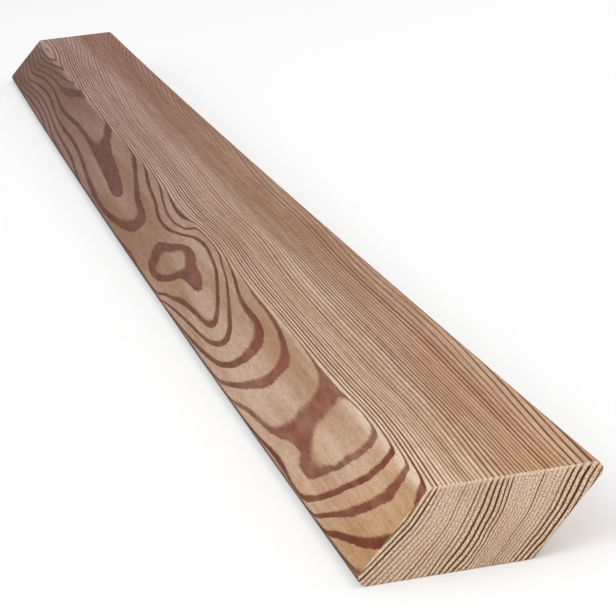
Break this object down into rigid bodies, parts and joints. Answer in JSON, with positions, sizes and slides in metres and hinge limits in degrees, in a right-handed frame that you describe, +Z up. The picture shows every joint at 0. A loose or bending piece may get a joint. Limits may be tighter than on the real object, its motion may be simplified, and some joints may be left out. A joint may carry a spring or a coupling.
{
  "type": "timber plank",
  "caption": "Planed larch plank with a rhombus section: both long sides bevelled at 45 degrees the same way, rounded long arrises and square-sawn ends.",
  "frame": {"origin": "middle of the plank's box on the plane of the back, which is the face it lies on", "axes": "+X along the grain, +Y across the plank towards the overhanging edge of the face, +Z up from the back to the face"},
  "size_m": [1, 0.068, 0.024],
  "materials": {
    "larch": "planed, untreated, satin"
  },
  "bodies": {
    "root": {"plank": "larch"}
  },
  "joints": []
}
